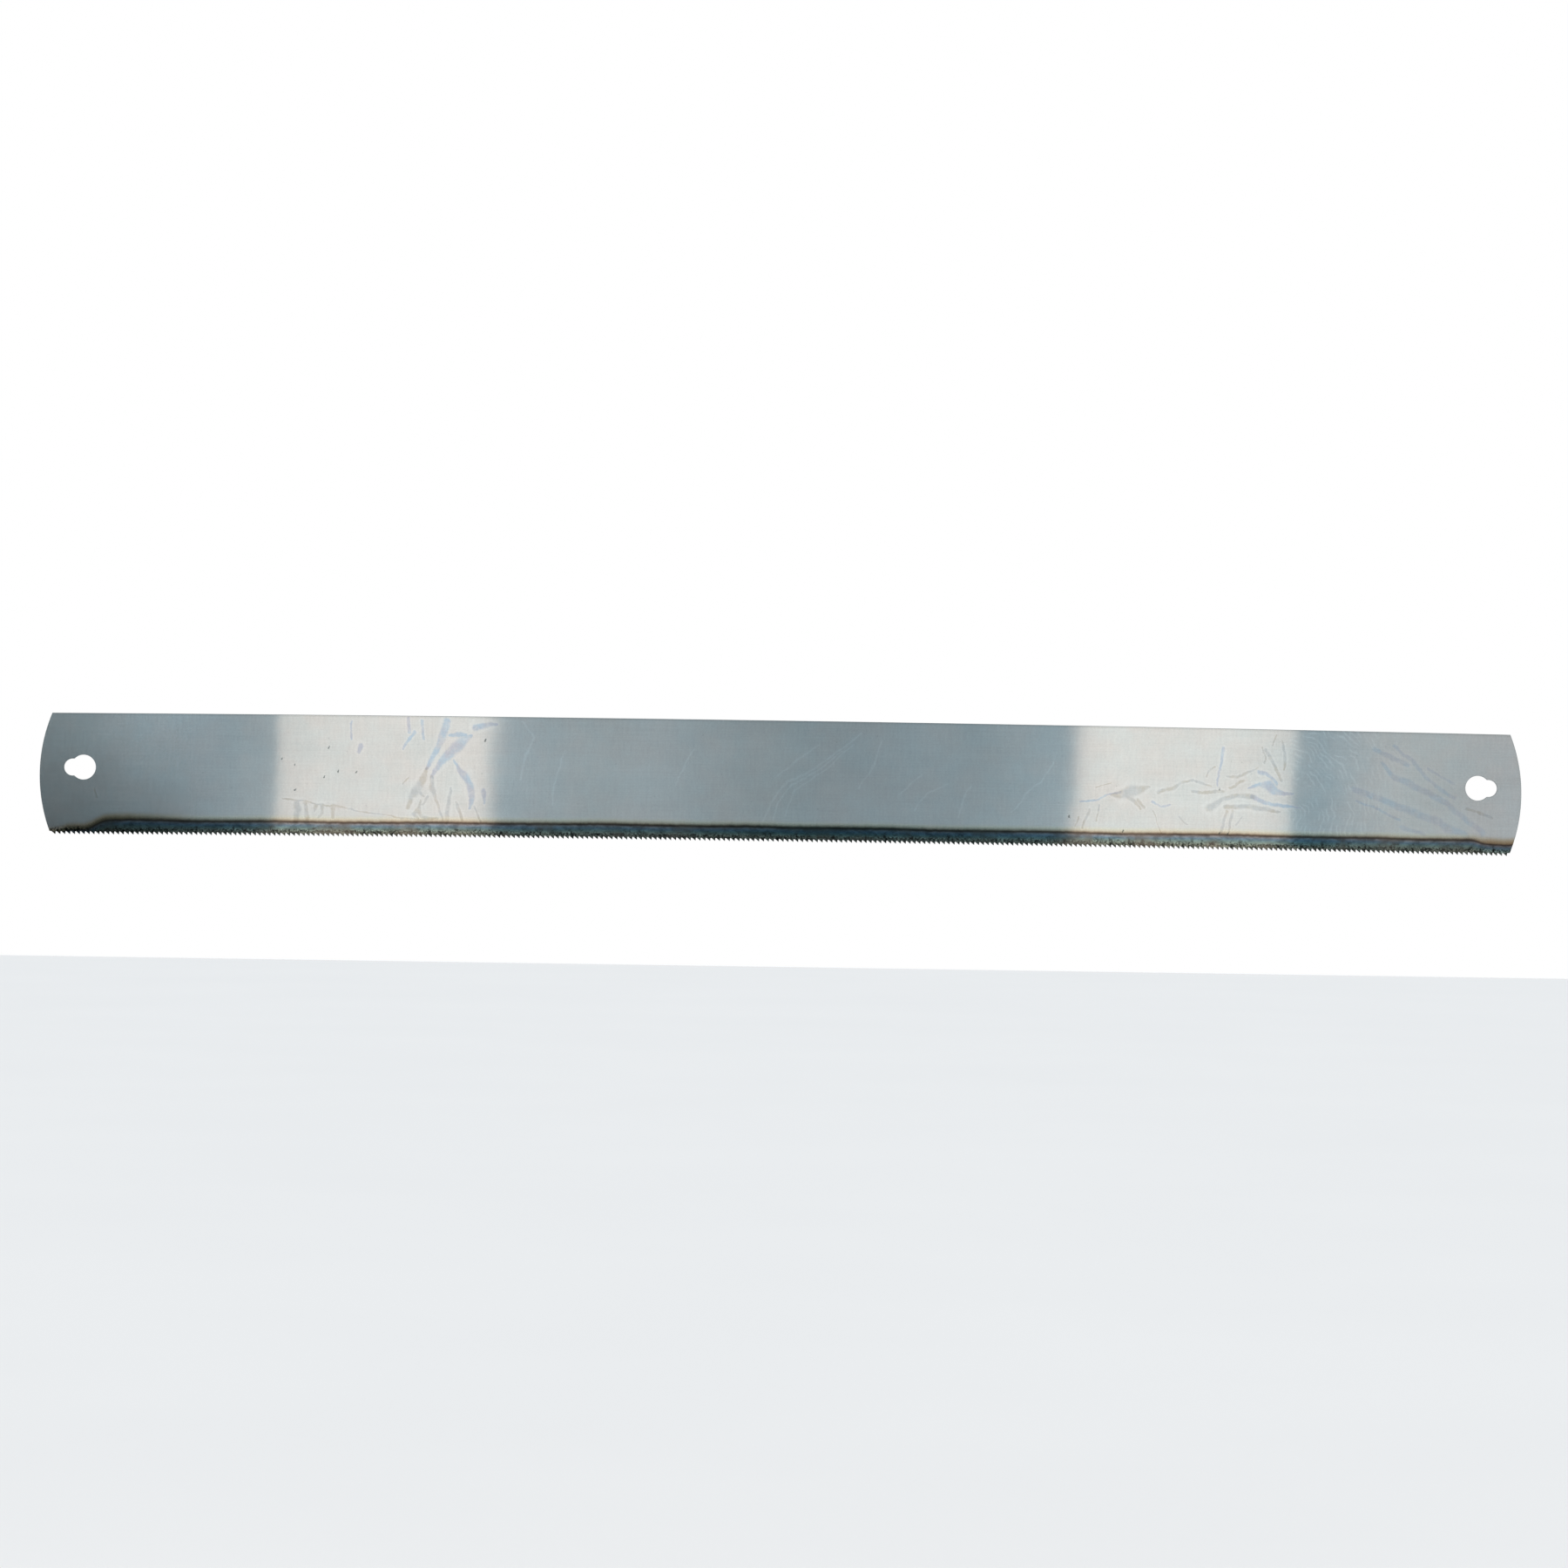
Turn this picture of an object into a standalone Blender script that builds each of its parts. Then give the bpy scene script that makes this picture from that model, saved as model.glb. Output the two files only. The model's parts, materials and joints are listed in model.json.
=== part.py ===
"""Frame-saw blade: a flat strip of spring steel with fine set teeth, a keyhole near each end and bowed ends.

Frame, in metres: the origin is the axis of the left frame pin, half-way through the steel. +X runs along
the blade, the way the teeth cut, +Z goes from the teeth up to the back edge, and the flat faces look
along -Y and +Y. The blade stands here as it does in its frame: teeth down, held by a pin in each keyhole.

The real blade is one strip. It is modelled in two pieces, which part where its colour changes: the soft
body above, and the hardened edge with the teeth below.
"""

import math

import bpy

# The strip
LENGTH = 0.550
HEIGHT = 0.045
THICKNESS = 0.0007
END_RADIUS = 0.060

# The keyholes: a neck for the pin's shank, towards the blade's end, and a larger hole for its head
PIN_PITCH = 0.5256
NECK_RADIUS = 0.00315
HEAD_RADIUS = 0.0046
HEAD_OFFSET = 0.0040
KEYHOLE_FILLET = 0.0005
KEYHOLE_BELOW_BACK = 0.0201

# The teeth
TOOTH_PITCH = 0.0254 / 14
TOOTH_DEPTH = 0.0011
GULLET_RADIUS = 0.0003
RAKE_ANGLE = math.radians(5)
TOOTH_SET = 0.0002

# The split between the body and the hardened edge
EDGE_HEIGHT = 0.0055
SPLIT_GAP = 0.0003

# How finely curves are cut
END_STEP = math.radians(2)
HEAD_STEPS = 30
NECK_STEPS = 20
FILLET_STEPS = 3
GULLET_STEPS = 2
SMOOTH_ANGLE = math.radians(30)

# Worked out from the above
LEFT_X = (PIN_PITCH - LENGTH) / 2
RIGHT_X = LEFT_X + LENGTH
CENTRE_X = PIN_PITCH / 2
BACK_Z = KEYHOLE_BELOW_BACK
TIP_Z = BACK_Z - HEIGHT
MIDDLE_Z = BACK_Z - HEIGHT / 2
GULLET_Z = TIP_Z + TOOTH_DEPTH
SPLIT_Z = TIP_Z + EDGE_HEIGHT
LEFT = -1
RIGHT = 1

# Colour (linear), metallic and roughness of each material
BODY_STEEL = ((0.50, 0.55, 0.57, 1.0), 1.0, 0.28)
EDGE_STEEL = ((0.07, 0.10, 0.12, 1.0), 1.0, 0.42)


def clear_scene():
    """Start from an empty file, whatever was open."""
    for obj in list(bpy.data.objects):
        bpy.data.objects.remove(obj, do_unlink=True)


def make_material(name, look):
    """A metal with the given colour, metallic value and roughness."""
    colour, metallic, roughness = look
    material = bpy.data.materials.new(name)
    material.use_nodes = True
    shader = material.node_tree.nodes["Principled BSDF"]
    shader.inputs["Base Color"].default_value = colour
    shader.inputs["Metallic"].default_value = metallic
    shader.inputs["Roughness"].default_value = roughness
    material.diffuse_color = colour
    return material


def add_object(name, mesh):
    """Put a mesh in the scene under a name."""
    obj = bpy.data.objects.new(name, mesh)
    bpy.context.scene.collection.objects.link(obj)
    return obj


def arc(centre_x, centre_z, radius, start, stop, steps):
    """Points (x, z) along an arc, its ends included; angles in radians, 0 along +X and turning to +Z."""
    angles = [start + (stop - start) * i / steps for i in range(steps + 1)]
    return [(centre_x + radius * math.cos(a), centre_z + radius * math.sin(a)) for a in angles]


def end_arc(side, low_z, high_z):
    """The blade's bowed end between two heights, from low to high, on the LEFT or the RIGHT.

    Its inner points are at whole multiples of END_STEP, so one of them is the end's furthest point.
    """
    low = math.asin((low_z - MIDDLE_Z) / END_RADIUS)
    high = math.asin((high_z - MIDDLE_Z) / END_RADIUS)
    inner = range(math.floor(low / END_STEP) + 1, math.ceil(high / END_STEP))
    angles = [low] + [i * END_STEP for i in inner] + [high]
    from_middle = LENGTH / 2 - END_RADIUS
    return [
        (CENTRE_X + side * (from_middle + END_RADIUS * math.cos(a)), MIDDLE_Z + END_RADIUS * math.sin(a))
        for a in angles
    ]


def keyhole_outline(side):
    """A keyhole, its two circles joined by small fillets; the neck is on the pin's axis, nearer the end."""
    neck_reach = NECK_RADIUS + KEYHOLE_FILLET
    head_reach = HEAD_RADIUS + KEYHOLE_FILLET
    fillet_x = (HEAD_OFFSET**2 + neck_reach**2 - head_reach**2) / (2 * HEAD_OFFSET)
    fillet_z = math.sqrt(neck_reach**2 - fillet_x**2)
    neck_angle = math.atan2(fillet_z, fillet_x)
    head_angle = math.atan2(fillet_z, fillet_x - HEAD_OFFSET)
    full = 2 * math.pi
    points = arc(HEAD_OFFSET, 0, HEAD_RADIUS, -head_angle, head_angle, HEAD_STEPS)
    points += arc(
        fillet_x, fillet_z, KEYHOLE_FILLET, head_angle - math.pi, neck_angle - math.pi, FILLET_STEPS
    )[1:-1]
    points += arc(0, 0, NECK_RADIUS, neck_angle, full - neck_angle, NECK_STEPS)
    points += arc(
        fillet_x, -fillet_z, KEYHOLE_FILLET, math.pi - neck_angle, math.pi - head_angle, FILLET_STEPS
    )[1:-1]
    if side == LEFT:
        return points
    return [(PIN_PITCH - x, z) for x, z in reversed(points)]


def sheet_mesh(name, points, faces, thickness):
    """A closed sheet about the plane y = 0.

    points are (x, z, shift), shift moving both skins along Y; faces are loops of their indices,
    counter-clockwise as seen from -Y. Each edge that only one face has gets a wall.
    """
    half = thickness / 2
    front = [(x, shift - half, z) for x, z, shift in points]
    back = [(x, shift + half, z) for x, z, shift in points]
    count = len(points)
    edges = {(a, b) for face in faces for a, b in zip(face, face[1:] + face[:1])}
    rim = sorted((a, b) for a, b in edges if (b, a) not in edges)
    skins = [tuple(face) for face in faces]
    skins += [tuple(i + count for i in reversed(face)) for face in faces]
    walls = [(b, a, a + count, b + count) for a, b in rim]
    mesh = bpy.data.meshes.new(name)
    mesh.from_pydata(front + back, [], skins + walls)
    mesh.update()
    return mesh


def flat_sheet(name, outline, thickness):
    """A closed sheet of one outline, (x, z) points counter-clockwise as seen from -Y."""
    points = [(x, z, 0.0) for x, z in outline]
    return sheet_mesh(name, points, [list(range(len(points)))], thickness)


def smooth_round_walls(mesh):
    """Shade the curved walls smooth and keep the corners sharp."""
    mesh.shade_smooth()
    mesh.set_sharp_from_angle(angle=SMOOTH_ANGLE)


def cut_holes(obj, cutters):
    """Cut each cutter out of the object, then take the cutters away."""
    for cutter in cutters:
        cut = obj.modifiers.new(cutter.name, "BOOLEAN")
        cut.operation = "DIFFERENCE"
        cut.solver = "EXACT"
        cut.object = cutter
    depsgraph = bpy.context.evaluated_depsgraph_get()
    mesh = bpy.data.meshes.new_from_object(obj.evaluated_get(depsgraph))
    obj.modifiers.clear()
    obj.data = mesh
    mesh.name = obj.name
    for cutter in cutters:
        bpy.data.objects.remove(cutter, do_unlink=True)


def build_blade_body():
    """The strip above the hardened edge, with bowed ends and both keyholes."""
    low_z = SPLIT_Z + SPLIT_GAP / 2
    right_end = end_arc(RIGHT, low_z, BACK_Z)
    left_end = end_arc(LEFT, low_z, BACK_Z)
    outline = right_end + left_end[::-1]
    body = add_object("blade_body", flat_sheet("blade_body", outline, THICKNESS))
    cutters = []
    for name, side in (("left_keyhole", LEFT), ("right_keyhole", RIGHT)):
        cutter_mesh = flat_sheet(name, keyhole_outline(side), 4 * THICKNESS)
        cutters.append(add_object(name, cutter_mesh))
    cut_holes(body, cutters)
    smooth_round_walls(body.data)
    return body


def tooth_profile():
    """One tooth as (x, height above the tips): its tip, rake face and round gullet, from x = 0 to one pitch.

    It starts after the gullet before it, runs down the straight clearance face to the tip and ends in
    the floor of its own gullet. The rake face looks along +X.
    """
    round_z = TOOTH_DEPTH - GULLET_RADIUS
    rake_run = round_z * math.tan(RAKE_ANGLE)
    round_x = TOOTH_PITCH - GULLET_RADIUS
    tip = (round_x - rake_run, 0.0)
    gullet = arc(TOOTH_PITCH, round_z, GULLET_RADIUS, math.pi, math.pi / 2, GULLET_STEPS)
    return [tip] + gullet


def build_tooth_edge():
    """The hardened strip with the teeth, each bent sideways in turn, and a short plain land at each end."""
    top_z = SPLIT_Z - SPLIT_GAP / 2
    left_end = end_arc(LEFT, GULLET_Z, top_z)
    right_end = end_arc(RIGHT, GULLET_Z, top_z)
    room = right_end[0][0] - left_end[0][0]
    tooth_count = math.floor(room / TOOTH_PITCH)
    first_x = CENTRE_X - tooth_count * TOOTH_PITCH / 2

    points = []
    faces = []

    def add(x, z, shift=0.0):
        points.append((x, z, shift))
        return len(points) - 1

    left_face = [add(x, z) for x, z in reversed(left_end)]
    top = add(first_x, top_z)
    gullet = add(first_x, GULLET_Z)
    faces.append(left_face + [gullet, top])
    for i in range(tooth_count):
        start_x = first_x + i * TOOTH_PITCH
        bend = TOOTH_SET if i % 2 else -TOOTH_SET
        loop = [gullet]
        for x, height in tooth_profile():
            shift = bend * (1 - height / TOOTH_DEPTH)
            loop.append(add(start_x + x, TIP_Z + height, shift))
        next_top = add(start_x + TOOTH_PITCH, top_z)
        faces.append(loop)
        faces.append([gullet, loop[-1], next_top, top])
        gullet = loop[-1]
        top = next_top
    right_face = [add(x, z) for x, z in right_end]
    faces.append([gullet] + right_face + [top])

    mesh = sheet_mesh("tooth_edge", points, faces, THICKNESS)
    smooth_round_walls(mesh)
    return add_object("tooth_edge", mesh)


def main():
    clear_scene()
    body = build_blade_body()
    body.data.materials.clear()
    body.data.materials.append(make_material("blade_steel", BODY_STEEL))
    edge = build_tooth_edge()
    edge.data.materials.append(make_material("hardened_steel", EDGE_STEEL))
    root = add_object("saw_blade", None)
    body.parent = root
    edge.parent = root


main()
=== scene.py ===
"""The frame-saw blade as it looks: one strip of cold-rolled spring steel with a hardened, tinted tooth edge.

Lengths in the geometry are in metres, in the CAD model's frame: +X along the blade, +Z up to its back edge,
faces towards -Y (front) and +Y. Places on the blade's face are in millimetres: u along it from its middle,
h up from the tooth tips.
"""

import json
import math
import random

import bpy
from mathutils import Matrix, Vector
from mathutils.geometry import tessellate_polygon

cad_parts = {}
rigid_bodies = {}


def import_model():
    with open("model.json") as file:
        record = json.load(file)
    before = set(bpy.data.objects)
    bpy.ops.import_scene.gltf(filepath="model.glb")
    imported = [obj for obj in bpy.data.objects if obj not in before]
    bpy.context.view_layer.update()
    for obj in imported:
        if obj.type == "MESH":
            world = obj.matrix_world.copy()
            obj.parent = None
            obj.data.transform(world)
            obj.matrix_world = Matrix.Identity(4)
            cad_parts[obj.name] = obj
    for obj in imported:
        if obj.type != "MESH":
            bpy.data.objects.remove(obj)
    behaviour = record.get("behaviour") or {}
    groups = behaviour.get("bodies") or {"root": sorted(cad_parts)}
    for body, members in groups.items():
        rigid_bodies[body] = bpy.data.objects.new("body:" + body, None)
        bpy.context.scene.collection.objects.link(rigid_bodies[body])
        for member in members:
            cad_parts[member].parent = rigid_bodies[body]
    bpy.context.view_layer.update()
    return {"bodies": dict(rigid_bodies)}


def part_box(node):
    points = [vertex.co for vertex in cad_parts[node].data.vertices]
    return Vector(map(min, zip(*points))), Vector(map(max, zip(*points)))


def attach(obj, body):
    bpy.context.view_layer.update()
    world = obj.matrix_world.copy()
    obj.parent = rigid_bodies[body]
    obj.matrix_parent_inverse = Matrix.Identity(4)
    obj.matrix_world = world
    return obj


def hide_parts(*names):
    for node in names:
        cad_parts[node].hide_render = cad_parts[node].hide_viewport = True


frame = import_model()

MM = 0.001
LEFT = -1
RIGHT = 1

# The blade's place and size, from the CAD model
BODY_LOW, BODY_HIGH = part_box("blade_body")
EDGE_LOW, EDGE_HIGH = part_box("tooth_edge")
LEFT_X = BODY_LOW.x
RIGHT_X = BODY_HIGH.x
BACK_Z = BODY_HIGH.z
TIP_Z = EDGE_LOW.z
SPLIT_Z = (BODY_LOW.z + EDGE_HIGH.z) / 2
CENTRE_X = (LEFT_X + RIGHT_X) / 2
MIDDLE_Z = (TIP_Z + BACK_Z) / 2
LENGTH = RIGHT_X - LEFT_X
HALF_THICK = (BODY_HIGH.y - BODY_LOW.y) / 2
TOOTH_SET = EDGE_HIGH.y - BODY_HIGH.y

# The shapes, as the CAD model has them
END_RADIUS = 0.060
PIN_PITCH = 0.5256
NECK_RADIUS = 0.00315
HEAD_RADIUS = 0.0046
HEAD_OFFSET = 0.0040
KEYHOLE_FILLET = 0.0005
TOOTH_PITCH = 0.0254 / 14
TOOTH_DEPTH = 0.0011
GULLET_RADIUS = 0.0003
RAKE_ANGLE = math.radians(5)
GULLET_Z = TIP_Z + TOOTH_DEPTH

# The strip bows up a little between its pins, as a strip hardened along one edge does
CAMBER = 0.0011

# Detail that the CAD model leaves out
BACK_ROUND = 0.00012
HOLE_ROUND = 0.00010
TOOTH_ROUND = 0.00003
TIP_LAND = 0.00004
MOST_WEAR = 0.00003
LEAST_SET = 0.86
WEAR_SEED = 11
ROUND_STEPS = 3
EDGE_STEPS = 54
END_STEP = math.radians(1)
HEAD_STEPS = 72
NECK_STEPS = 48
FILLET_STEPS = 5
GULLET_STEPS = 5
SHARP_ANGLE = math.radians(50)
STRAIGHT_ON = 1e-3

# The picture: the camera looks along +Y at the front face
CAMERA_DISTANCE = 1.6
CAMERA_SHIFT_X = 0.0013
CAMERA_SHIFT_Z = 0.0001
VIEW_WIDTH = 0.5821
CAMERA_ROLL = math.radians(0.87)
SENSOR = 36.0
FLOOR_DROP = 0.30
FLOOR_SIZE = 12.0


def arc(centre_x, centre_z, radius, start, stop, steps):
    """Points (x, z) along an arc, its ends included; angles in radians, 0 along +X and turning to +Z."""
    angles = [start + (stop - start) * i / steps for i in range(steps + 1)]
    return [(centre_x + radius * math.cos(a), centre_z + radius * math.sin(a)) for a in angles]


def end_arc(side, low_z, high_z):
    """The blade's bowed end between two heights, from low to high."""
    low = math.asin((low_z - MIDDLE_Z) / END_RADIUS)
    high = math.asin((high_z - MIDDLE_Z) / END_RADIUS)
    inner = range(math.floor(low / END_STEP) + 1, math.ceil(high / END_STEP))
    angles = [low] + [i * END_STEP for i in inner] + [high]
    from_middle = LENGTH / 2 - END_RADIUS
    return [
        (CENTRE_X + side * (from_middle + END_RADIUS * math.cos(a)), MIDDLE_Z + END_RADIUS * math.sin(a))
        for a in angles
    ]


def straight(start, stop):
    """The points between two points, both left out."""
    shares = [i / EDGE_STEPS for i in range(1, EDGE_STEPS)]
    return [tuple(a + (b - a) * share for a, b in zip(start, stop)) for share in shares]


def camber(x):
    """How far the strip has bowed up at x."""
    return CAMBER * (1 - ((x - CENTRE_X) / (PIN_PITCH / 2)) ** 2)


def keyhole_outline(side):
    """A keyhole, counter-clockwise seen from the front; its neck is on the pin's axis, nearer the end."""
    neck_reach = NECK_RADIUS + KEYHOLE_FILLET
    head_reach = HEAD_RADIUS + KEYHOLE_FILLET
    fillet_x = (HEAD_OFFSET**2 + neck_reach**2 - head_reach**2) / (2 * HEAD_OFFSET)
    fillet_z = math.sqrt(neck_reach**2 - fillet_x**2)
    neck_angle = math.atan2(fillet_z, fillet_x)
    head_angle = math.atan2(fillet_z, fillet_x - HEAD_OFFSET)
    full = 2 * math.pi
    points = arc(HEAD_OFFSET, 0, HEAD_RADIUS, -head_angle, head_angle, HEAD_STEPS)
    points += arc(
        fillet_x, fillet_z, KEYHOLE_FILLET, head_angle - math.pi, neck_angle - math.pi, FILLET_STEPS
    )[1:-1]
    points += arc(0, 0, NECK_RADIUS, neck_angle, full - neck_angle, NECK_STEPS)
    points += arc(
        fillet_x, -fillet_z, KEYHOLE_FILLET, math.pi - neck_angle, math.pi - head_angle, FILLET_STEPS
    )[1:-1]
    if side == LEFT:
        return points
    return [(PIN_PITCH - x, z) for x, z in reversed(points)]


def inset(points, rounds, share):
    """A closed loop, steel on its left, moved into the steel by share of each edge's rounding.

    rounds has one radius for the edge from each point to the next.
    """
    count = len(points)
    normals = []
    for i in range(count):
        (ax, az), (bx, bz) = points[i], points[(i + 1) % count]
        length = math.hypot(bx - ax, bz - az)
        normals.append(((az - bz) / length, (bx - ax) / length))
    moved = []
    for i, (x, z) in enumerate(points):
        (px, pz), (nx, nz) = normals[i - 1], normals[i]
        before = rounds[i - 1] * share
        after = rounds[i] * share
        cross = px * nz - pz * nx
        if abs(cross) < STRAIGHT_ON:
            moved.append((x + (px * before + nx * after) / 2, z + (pz * before + nz * after) / 2))
            continue
        moved.append((x + (before * nz - after * pz) / cross, z + (px * after - nx * before) / cross))
    return moved


def sheet_object(name, loops, caps, radius, shift):
    """A closed strip of steel between two skins, its edges rounded by up to radius.

    loops are (points, rounds) as inset() takes them; caps are faces of the skins, counter-clockwise seen
    from the front, as indices into all the loops' points. shift gives a point's move along Y.
    """
    turns = [math.pi / 2 * i / ROUND_STEPS for i in range(ROUND_STEPS + 1)]
    front = [(1 - math.sin(a), -HALF_THICK + radius * (1 - math.cos(a))) for a in turns]
    layers = front + [(share, -y) for share, y in reversed(front)]
    flat = [p for points, _ in loops for p in points]
    vertices = []
    for share, y in layers:
        placed = [p for points, rounds in loops for p in inset(points, rounds, share)]
        vertices += [
            (x, y + shift(i, was[1]), z + camber(x)) for i, ((x, z), was) in enumerate(zip(placed, flat))
        ]
    count = len(flat)
    last = count * (len(layers) - 1)
    faces = [tuple(face) for face in caps]
    faces += [tuple(last + i for i in reversed(face)) for face in caps]
    skin_count = len(faces)
    start = 0
    for points, _ in loops:
        ring = list(range(start, start + len(points)))
        start += len(points)
        for layer in range(len(layers) - 1):
            low = layer * count
            high = low + count
            for a, b in zip(ring, ring[1:] + ring[:1]):
                faces.append((low + b, low + a, high + a, high + b))
    mesh = bpy.data.meshes.new(name)
    mesh.from_pydata(vertices, [], faces)
    mesh.update()
    mesh.set_sharp_from_angle(angle=SHARP_ANGLE)
    for polygon in mesh.polygons:
        polygon.use_smooth = polygon.index >= skin_count
        polygon.material_index = 0 if polygon.index < skin_count else 1
    obj = bpy.data.objects.new(name, mesh)
    bpy.context.scene.collection.objects.link(obj)
    return obj


def build_body():
    """The strip above the hardened edge, with bowed ends and both keyholes."""
    right_end = end_arc(RIGHT, SPLIT_Z, BACK_Z)
    left_end = end_arc(LEFT, SPLIT_Z, BACK_Z)
    back = straight(right_end[-1], left_end[-1])
    split = straight(left_end[0], right_end[0])
    outline = right_end + back + left_end[::-1] + split
    rounds = [BACK_ROUND] * (len(outline) - len(split) - 1) + [0.0] * (len(split) + 1)
    loops = [(outline, rounds)]
    for side in (LEFT, RIGHT):
        hole = keyhole_outline(side)[::-1]
        loops.append((hole, [HOLE_ROUND] * len(hole)))
    polygons = [[(x, z + camber(x), 0.0) for x, z in inset(points, rounds, 1.0)] for points, rounds in loops]
    caps = [facing_front(face, polygons) for face in tessellate_polygon(polygons)]
    return sheet_object("steel_body", loops, caps, BACK_ROUND, lambda i, z: 0.0)


def facing_front(face, polygons):
    """A triangle of the polygons' points, turned counter-clockwise."""
    flat = [p for polygon in polygons for p in polygon]
    a, b, c = (flat[i] for i in face)
    area = (b[0] - a[0]) * (c[1] - a[1]) - (c[0] - a[0]) * (b[1] - a[1])
    return tuple(face) if area > 0 else tuple(reversed(face))


def tooth_profile():
    """One tooth as (x, height above the tips), from after the gullet before it to its own gullet's floor."""
    round_z = TOOTH_DEPTH - GULLET_RADIUS
    rake_run = round_z * math.tan(RAKE_ANGLE)
    tip_x = TOOTH_PITCH - GULLET_RADIUS - rake_run
    gullet = arc(TOOTH_PITCH, round_z, GULLET_RADIUS, math.pi, math.pi / 2, GULLET_STEPS)
    return [(tip_x - TIP_LAND, 0.0), (tip_x, 0.0)] + gullet


def build_edge():
    """The hardened strip with its teeth, each bent sideways in turn, no two quite alike."""
    draw = random.Random(WEAR_SEED)
    left_end = end_arc(LEFT, GULLET_Z, SPLIT_Z)
    right_end = end_arc(RIGHT, GULLET_Z, SPLIT_Z)
    tooth_count = math.floor((right_end[0][0] - left_end[0][0]) / TOOTH_PITCH)
    first_x = CENTRE_X - tooth_count * TOOTH_PITCH / 2
    points = [(first_x, GULLET_Z)]
    bends = [0.0]
    gullets = [0]
    for i in range(tooth_count):
        worn = draw.uniform(0.0, MOST_WEAR)
        bend = (TOOTH_SET if i % 2 else -TOOTH_SET) * draw.uniform(LEAST_SET, 1.0)
        start_x = first_x + i * TOOTH_PITCH
        for x, height in tooth_profile():
            lifted = height + worn * (1 - height / TOOTH_DEPTH)
            points.append((start_x + x, TIP_Z + lifted))
            bends.append(bend)
        gullets.append(len(points) - 1)
    bottom_count = len(points)
    points += right_end
    top_right = len(points) - 1
    tops = {tooth_count: top_right + 1}
    for i in range(tooth_count, -1, -1):
        tops[i] = len(points)
        points.append((first_x + i * TOOTH_PITCH, SPLIT_Z))
    top_left = len(points)
    points += left_end[::-1]
    bends += [0.0] * (len(points) - bottom_count)

    rounds = [TOOTH_ROUND] * len(points)
    for i in range(top_right, top_left):
        rounds[i] = 0.0

    caps = []
    for i in range(tooth_count):
        start, stop = gullets[i], gullets[i + 1]
        caps.append(list(range(start, stop + 1)))
        caps.append([start, stop, tops[i + 1], tops[i]])
    caps.append([gullets[-1]] + list(range(bottom_count, top_right + 1)) + [tops[tooth_count]])
    caps.append([tops[0]] + list(range(top_left, len(points))) + [gullets[0]])

    def shift(i, z):
        return bends[i] * min(max((GULLET_Z - z) / TOOTH_DEPTH, 0.0), 1.0)

    return sheet_object("toothed_edge", [(points, rounds)], caps, TOOTH_ROUND, shift)


class Graph:
    """Short ways to add shader nodes. A value is a number, a tuple or another node's output."""

    def __init__(self, tree):
        self.tree = tree

    def add(self, kind, inputs, output=0, **settings):
        node = self.tree.nodes.new(kind)
        for name, value in settings.items():
            setattr(node, name, value)
        for key, value in inputs.items():
            self.feed(node.inputs[key], value)
        return node.outputs[output]

    def feed(self, socket, value):
        if isinstance(value, bpy.types.NodeSocket):
            self.tree.links.new(value, socket)
        elif value is not None:
            socket.default_value = value

    def math(self, operation, a, b=None, c=None):
        return self.add("ShaderNodeMath", {0: a, 1: b, 2: c}, operation=operation)

    def times(self, value, *others):
        for other in others:
            value = self.math("MULTIPLY", value, other)
        return value

    def centred(self, noise, reach):
        """Noise from 0 to 1 as a value about 0, reach wide."""
        return self.math("MULTIPLY_ADD", noise, reach, -reach / 2)

    def vector(self, operation, a, b=None, output=0):
        return self.add("ShaderNodeVectorMath", {0: a, 1: b}, output, operation=operation)

    def scale(self, a, by):
        return self.add("ShaderNodeVectorMath", {0: a, "Scale": by}, operation="SCALE")

    def combine(self, x, y, z):
        return self.add("ShaderNodeCombineXYZ", {0: x, 1: y, 2: z})

    def split(self, vector):
        """The x, y and z of a vector."""
        node = self.tree.nodes.new("ShaderNodeSeparateXYZ")
        self.feed(node.inputs[0], vector)
        return node.outputs

    def noise(self, at, scale, detail, roughness=0.5, output=0):
        inputs = {"Vector": at, "Scale": scale, "Detail": detail, "Roughness": roughness}
        return self.add("ShaderNodeTexNoise", inputs, output)

    def between(self, value, low, high, start=0.0, stop=1.0):
        """start where value is low, turning smoothly to stop where it is high; low may be above high."""
        inputs = {0: value, 1: low, 2: high, 3: start, 4: stop}
        return self.add("ShaderNodeMapRange", inputs, interpolation_type="SMOOTHSTEP", clamp=True)

    def mix(self, factor, a, b):
        """a to b by factor, as colours."""
        node = self.tree.nodes.new("ShaderNodeMix")
        node.data_type = "RGBA"
        for socket, value in zip((0, 6, 7), (factor, a, b)):
            self.feed(node.inputs[socket], value)
        return node.outputs[2]

    def mix_value(self, factor, a, b):
        """a to b by factor, as numbers."""
        return self.math("MULTIPLY_ADD", factor, self.math("SUBTRACT", b, a), a)

    def ramp(self, value, stops):
        """A colour ramp through (position, colour) stops."""
        node = self.tree.nodes.new("ShaderNodeValToRGB")
        node.color_ramp.interpolation = "LINEAR"
        elements = node.color_ramp.elements
        while len(elements) < len(stops):
            elements.new(1.0)
        for element, (position, colour) in zip(elements, stops):
            element.position = position
            element.color = (*colour, 1.0)
        self.feed(node.inputs[0], value)
        return node.outputs[0]


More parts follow.
